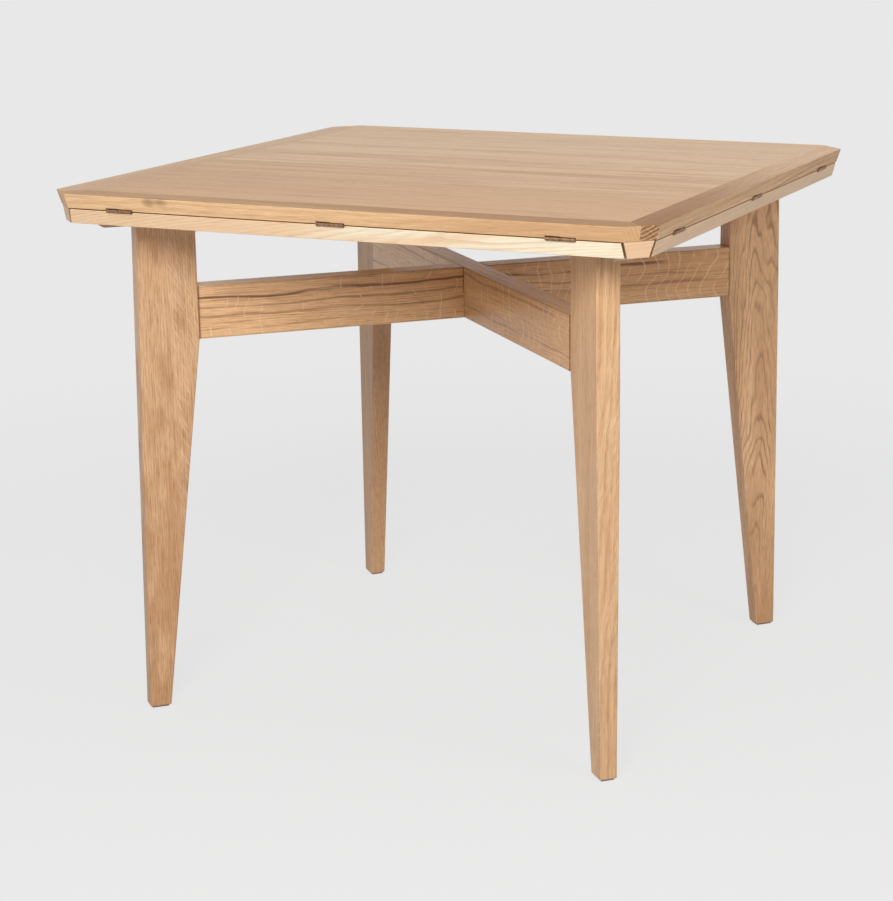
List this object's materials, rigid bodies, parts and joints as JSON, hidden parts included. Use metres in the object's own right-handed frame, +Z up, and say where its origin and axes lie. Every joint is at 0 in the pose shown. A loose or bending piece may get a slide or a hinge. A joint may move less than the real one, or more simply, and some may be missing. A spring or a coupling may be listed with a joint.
{
  "type": "swivel extending table",
  "caption": "Square oak dining table with cut corners: triangular leaves fold out from under the top on edge hinges, and the top swivels on a crossed base to make a larger square.",
  "frame": {"origin": "on the floor under the centre of the top", "axes": "+Z up, -Y out of the front edge, +X out of the right edge"},
  "size_m": [0.8794, 0.8794, 0.76],
  "materials": {
    "top_veneer": "fine straight oak veneer, oiled matt",
    "top_lipping": "solid oak lipping, oiled matt",
    "leaf_veneer": "fine straight oak veneer, oiled matt",
    "leaf_edging": "pale solid oak, oiled matt",
    "corner_oak": "solid oak, oiled matt",
    "frame_oak": "solid oak, oiled matt",
    "leg_oak": "solid oak, oiled matt",
    "rail_oak": "quarter-sawn oak with flecks, oiled matt",
    "hinge_bronze": "dark bronzed brass",
    "steel": "zinc-plated steel",
    "bush_brass": "machined brass",
    "magnet_nickel": "nickel-plated magnet",
    "glide_dark": "dark moulded plastic",
    "slide_nylon": "natural nylon"
  },
  "bodies": {
    "base": {"bearer_left": "frame_oak", "bearer_right": "frame_oak", "bearer_screws": "steel", "foot_glides": "glide_dark", "leg_back_left": "leg_oak", "leg_back_right": "leg_oak", "leg_front_left": "leg_oak", "leg_front_right": "leg_oak", "pivot_bush": "bush_brass", "slide_pads": "slide_nylon", "stretcher_left": "rail_oak", "stretcher_right": "rail_oak", "swivel_washer": "slide_nylon"},
    "top": {"catch_strikes": "steel", "corner_block_back_left": "corner_oak", "corner_block_back_right": "corner_oak", "corner_block_front_left": "corner_oak", "corner_block_front_right": "corner_oak", "hinge_pins": "hinge_bronze", "hinge_plates_top": "hinge_bronze", "hinge_screws_top": "steel", "lipping_back": "top_lipping", "lipping_front": "top_lipping", "lipping_left": "top_lipping", "lipping_right": "top_lipping", "pivot_bolt": "steel", "pivot_insert": "bush_brass", "pivot_washer": "steel", "spacer_back_left": "frame_oak", "spacer_back_right": "frame_oak", "spacer_front_left": "frame_oak", "spacer_front_right": "frame_oak", "stop_peg": "steel", "swivel_hub": "frame_oak", "top_frame_screws": "steel", "top_panel": "top_veneer"},
    "leaf_front": {"leaf_hinge_plates_front": "hinge_bronze", "leaf_hinge_screws_front": "steel", "leaf_magnet_front": "magnet_nickel", "leaf_panel_front": "leaf_veneer", "leaf_rail_front": "leaf_edging", "leaf_rim_front": "leaf_edging"},
    "leaf_right": {"leaf_hinge_plates_right": "hinge_bronze", "leaf_hinge_screws_right": "steel", "leaf_magnet_right": "magnet_nickel", "leaf_panel_right": "leaf_veneer", "leaf_rail_right": "leaf_edging", "leaf_rim_right": "leaf_edging"},
    "leaf_back": {"leaf_hinge_plates_back": "hinge_bronze", "leaf_hinge_screws_back": "steel", "leaf_magnet_back": "magnet_nickel", "leaf_panel_back": "leaf_veneer", "leaf_rail_back": "leaf_edging", "leaf_rim_back": "leaf_edging"},
    "leaf_left": {"leaf_hinge_plates_left": "hinge_bronze", "leaf_hinge_screws_left": "steel", "leaf_magnet_left": "magnet_nickel", "leaf_panel_left": "leaf_veneer", "leaf_rail_left": "leaf_edging", "leaf_rim_left": "leaf_edging"}
  },
  "joints": [
    {"name": "top_swivel", "type": "hinge", "parent": "base", "child": "top", "pos_m": [0, 0, 0.719], "axis": [0, 0, 1], "range_deg": [0, 45]},
    {"name": "leaf_front_fold", "type": "hinge", "parent": "top", "child": "leaf_front", "pos_m": [0, -0.43412, 0.7394], "axis": [-1, 0, 0], "range_deg": [0, 180]},
    {"name": "leaf_right_fold", "type": "hinge", "parent": "top", "child": "leaf_right", "pos_m": [0.43412, 0, 0.7394], "axis": [0, -1, 0], "range_deg": [0, 180]},
    {"name": "leaf_back_fold", "type": "hinge", "parent": "top", "child": "leaf_back", "pos_m": [0, 0.43412, 0.7394], "axis": [1, 0, 0], "range_deg": [0, 180]},
    {"name": "leaf_left_fold", "type": "hinge", "parent": "top", "child": "leaf_left", "pos_m": [-0.43412, 0, 0.7394], "axis": [0, 1, 0], "range_deg": [0, 180]}
  ]
}
